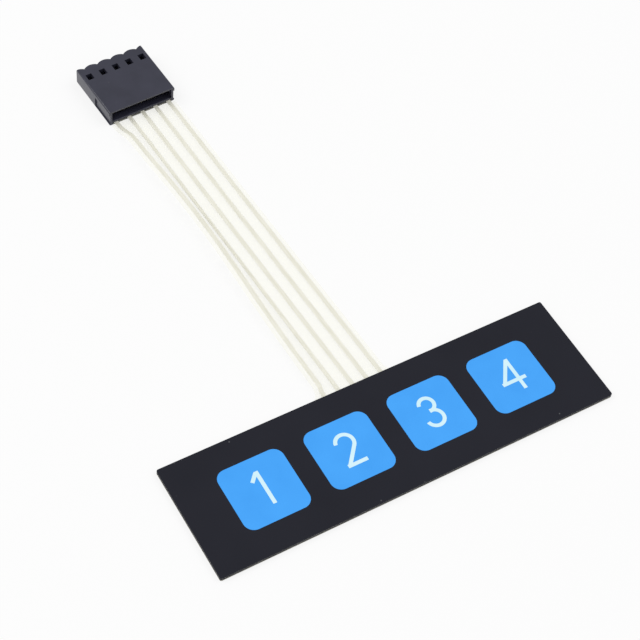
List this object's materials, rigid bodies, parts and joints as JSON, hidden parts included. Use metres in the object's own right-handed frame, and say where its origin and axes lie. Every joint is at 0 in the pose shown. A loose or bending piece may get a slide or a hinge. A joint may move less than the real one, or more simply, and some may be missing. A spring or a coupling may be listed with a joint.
{
  "type": "membrane keypad",
  "caption": "Thin adhesive-backed membrane keypad: a row of printed keys over snap domes, with a clear printed tail that ends in a single-row socket connector.",
  "frame": {"origin": "middle of the pad's rear face, which is the outer face of its release liner", "axes": "+X along the row of keys from key 1 to key 4, +Y from the pad to the connector, +Z out of the printed front"},
  "size_m": [0.069, 0.0968, 0.0031],
  "materials": {
    "liner_paper": "matt coated paper",
    "adhesive": "clear acrylic adhesive",
    "clear_film": "clear polyester film",
    "silver_ink": "printed silver ink, clear varnish on the tail",
    "spacer_film": "black polyester film",
    "dome_steel": "sprung stainless sheet",
    "overlay_film": "black, fine velvet texture",
    "key_ink": "blue print, matt",
    "housing_plastic": "black moulded, fine grain",
    "contact_metal": "tinned bronze sheet"
  },
  "bodies": {
    "root": {"release_liner": "liner_paper", "rear_adhesive": "adhesive", "circuit_film": "clear_film", "trace_common": "silver_ink", "trace_key_1": "silver_ink", "trace_key_2": "silver_ink", "trace_key_3": "silver_ink", "trace_key_4": "silver_ink", "dome_spacer": "spacer_film", "snap_dome_1": "dome_steel", "snap_dome_2": "dome_steel", "snap_dome_3": "dome_steel", "snap_dome_4": "dome_steel", "overlay_adhesive": "adhesive", "graphic_overlay": "overlay_film", "key_field_1": "key_ink", "key_field_2": "key_ink", "key_field_3": "key_ink", "key_field_4": "key_ink", "connector_housing": "housing_plastic", "film_clamp": "housing_plastic", "contact_1": "contact_metal", "contact_2": "contact_metal", "contact_3": "contact_metal", "contact_4": "contact_metal", "contact_5": "contact_metal"}
  },
  "joints": []
}
